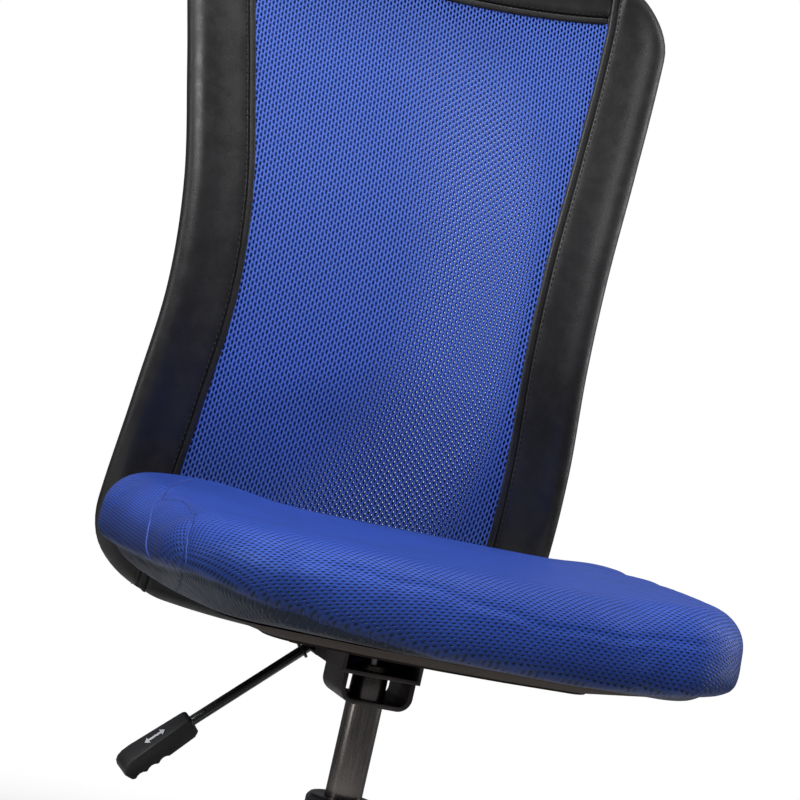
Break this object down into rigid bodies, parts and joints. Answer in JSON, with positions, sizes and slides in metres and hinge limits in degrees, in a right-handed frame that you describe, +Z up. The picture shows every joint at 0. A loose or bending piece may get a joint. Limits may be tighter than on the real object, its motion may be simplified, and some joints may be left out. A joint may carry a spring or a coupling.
{
  "type": "swivel office chair",
  "caption": "Armless swivel chair: blue mesh back in a black stitched border, blue padded seat, gas lift with lever, star base on twin-wheel castors.",
  "frame": {"origin": "on the floor, below the middle of the gas lift", "axes": "+Z up; the sitter faces -Y; +X is the sitter's left"},
  "size_m": [0.5236, 0.5259, 0.944],
  "materials": {
    "nylon": "fine grained",
    "wheel_nylon": "satin",
    "zinc_steel": "bright zinc plated",
    "tube_paint": "satin powder coat",
    "lift_steel": "dark semi-gloss",
    "acetal": "satin",
    "plate_steel": "semi-gloss powder coat",
    "bar_paint": "satin powder coat",
    "lever_steel": "glossy black",
    "handle_plastic": "satin",
    "plywood": "raw plywood",
    "dust_cover": "matte non-woven sheet",
    "seat_fabric": "knitted air mesh",
    "back_mesh": "open knitted net",
    "faux_leather": "soft grained, stitched",
    "black_bolt": "black oxide"
  },
  "bodies": {
    "base": {"base_star": "nylon", "lift_outer_tube": "tube_paint", "lift_guide_bushing": "acetal"},
    "lift_core": {"lift_rod": "zinc_steel", "lift_thrust_bearing": "zinc_steel", "lift_retaining_clip": "zinc_steel"},
    "upper": {"lift_cylinder": "lift_steel", "seat_plate": "plate_steel", "column_hanger": "plate_steel", "seat_under_cover": "dust_cover", "seat_board": "plywood", "seat_cushion": "seat_fabric", "seat_bolt_1": "black_bolt", "seat_bolt_2": "black_bolt", "seat_bolt_3": "black_bolt", "seat_bolt_4": "black_bolt", "back_frame": "bar_paint", "border_left": "faux_leather", "border_right": "faux_leather", "border_top": "faux_leather", "border_bottom": "faux_leather", "border_rear": "faux_leather", "mesh_front": "back_mesh", "mesh_rear": "back_mesh", "back_bar": "bar_paint", "bar_bolt_1": "black_bolt", "bar_bolt_2": "black_bolt", "back_screw_1": "black_bolt", "back_screw_2": "black_bolt"},
    "lever": {"lever_rod": "lever_steel", "lever_clip": "black_bolt", "lever_handle": "handle_plastic"},
    "valve_button": {"lift_valve_button": "zinc_steel"},
    "castor_1": {"castor_1_stem": "zinc_steel", "castor_1_hood": "nylon", "castor_1_axle": "zinc_steel"},
    "wheel_1a": {"castor_1_wheel_a": "wheel_nylon"},
    "wheel_1b": {"castor_1_wheel_b": "wheel_nylon"},
    "castor_2": {"castor_2_stem": "zinc_steel", "castor_2_hood": "nylon", "castor_2_axle": "zinc_steel"},
    "wheel_2a": {"castor_2_wheel_a": "wheel_nylon"},
    "wheel_2b": {"castor_2_wheel_b": "wheel_nylon"},
    "castor_3": {"castor_3_stem": "zinc_steel", "castor_3_hood": "nylon", "castor_3_axle": "zinc_steel"},
    "wheel_3a": {"castor_3_wheel_a": "wheel_nylon"},
    "wheel_3b": {"castor_3_wheel_b": "wheel_nylon"},
    "castor_4": {"castor_4_stem": "zinc_steel", "castor_4_hood": "nylon", "castor_4_axle": "zinc_steel"},
    "wheel_4a": {"castor_4_wheel_a": "wheel_nylon"},
    "wheel_4b": {"castor_4_wheel_b": "wheel_nylon"},
    "castor_5": {"castor_5_stem": "zinc_steel", "castor_5_hood": "nylon", "castor_5_axle": "zinc_steel"},
    "wheel_5a": {"castor_5_wheel_a": "wheel_nylon"},
    "wheel_5b": {"castor_5_wheel_b": "wheel_nylon"}
  },
  "joints": [
    {"name": "seat_swivel", "type": "hinge", "parent": "base", "child": "lift_core", "pos_m": [0, 0, 0.1], "axis": [0, 0, 1], "continuous": true},
    {"name": "seat_height", "type": "slide", "parent": "lift_core", "child": "upper", "axis": [0, 0, 1], "range_m": [-0.055, 0.055]},
    {"name": "lever_lift", "type": "hinge", "parent": "upper", "child": "lever", "pos_m": [-0.0295, 0.057, 0.3794], "axis": [0, 1, 0], "range_deg": [0, 8], "stiffness_Nm_per_rad": 0.5, "springref_deg": -11.46},
    {"name": "button_press", "type": "slide", "parent": "upper", "child": "valve_button", "axis": [0, 0, 1], "range_m": [-0.0045, 0]},
    {"name": "castor_1_swivel", "type": "hinge", "parent": "base", "child": "castor_1", "pos_m": [0, -0.239, 0.05], "axis": [0, 0, 1], "continuous": true},
    {"name": "wheel_1a_roll", "type": "hinge", "parent": "castor_1", "child": "wheel_1a", "pos_m": [0.02, -0.239, 0.025], "axis": [0, 1, 0], "continuous": true},
    {"name": "wheel_1b_roll", "type": "hinge", "parent": "castor_1", "child": "wheel_1b", "pos_m": [0.02, -0.239, 0.025], "axis": [0, 1, 0], "continuous": true},
    {"name": "castor_2_swivel", "type": "hinge", "parent": "base", "child": "castor_2", "pos_m": [0.2273, -0.07386, 0.05], "axis": [0, 0, 1], "continuous": true},
    {"name": "wheel_2a_roll", "type": "hinge", "parent": "castor_2", "child": "wheel_2a", "pos_m": [0.23348, -0.05483, 0.025], "axis": [-0.9511, 0.309, 0], "continuous": true},
    {"name": "wheel_2b_roll", "type": "hinge", "parent": "castor_2", "child": "wheel_2b", "pos_m": [0.23348, -0.05483, 0.025], "axis": [-0.9511, 0.309, 0], "continuous": true},
    {"name": "castor_3_swivel", "type": "hinge", "parent": "base", "child": "castor_3", "pos_m": [0.14048, 0.19336, 0.05], "axis": [0, 0, 1], "continuous": true},
    {"name": "wheel_3a_roll", "type": "hinge", "parent": "castor_3", "child": "wheel_3a", "pos_m": [0.1243, 0.20511, 0.025], "axis": [-0.5878, -0.809, 0], "continuous": true},
    {"name": "wheel_3b_roll", "type": "hinge", "parent": "castor_3", "child": "wheel_3b", "pos_m": [0.1243, 0.20511, 0.025], "axis": [-0.5878, -0.809, 0], "continuous": true},
    {"name": "castor_4_swivel", "type": "hinge", "parent": "base", "child": "castor_4", "pos_m": [-0.14048, 0.19336, 0.05], "axis": [0, 0, 1], "continuous": true},
    {"name": "wheel_4a_roll", "type": "hinge", "parent": "castor_4", "child": "wheel_4a", "pos_m": [-0.1243, 0.20511, 0.025], "axis": [-0.5878, 0.809, 0], "continuous": true},
    {"name": "wheel_4b_roll", "type": "hinge", "parent": "castor_4", "child": "wheel_4b", "pos_m": [-0.1243, 0.20511, 0.025], "axis": [-0.5878, 0.809, 0], "continuous": true},
    {"name": "castor_5_swivel", "type": "hinge", "parent": "base", "child": "castor_5", "pos_m": [-0.2273, -0.07386, 0.05], "axis": [0, 0, 1], "continuous": true},
    {"name": "wheel_5a_roll", "type": "hinge", "parent": "castor_5", "child": "wheel_5a", "pos_m": [-0.23348, -0.05483, 0.025], "axis": [-0.9511, -0.309, 0], "continuous": true},
    {"name": "wheel_5b_roll", "type": "hinge", "parent": "castor_5", "child": "wheel_5b", "pos_m": [-0.23348, -0.05483, 0.025], "axis": [-0.9511, -0.309, 0], "continuous": true}
  ],
  "couplings": [
    {"joint": "button_press", "follows": "lever_lift", "m_per_rad": -0.0295}
  ]
}
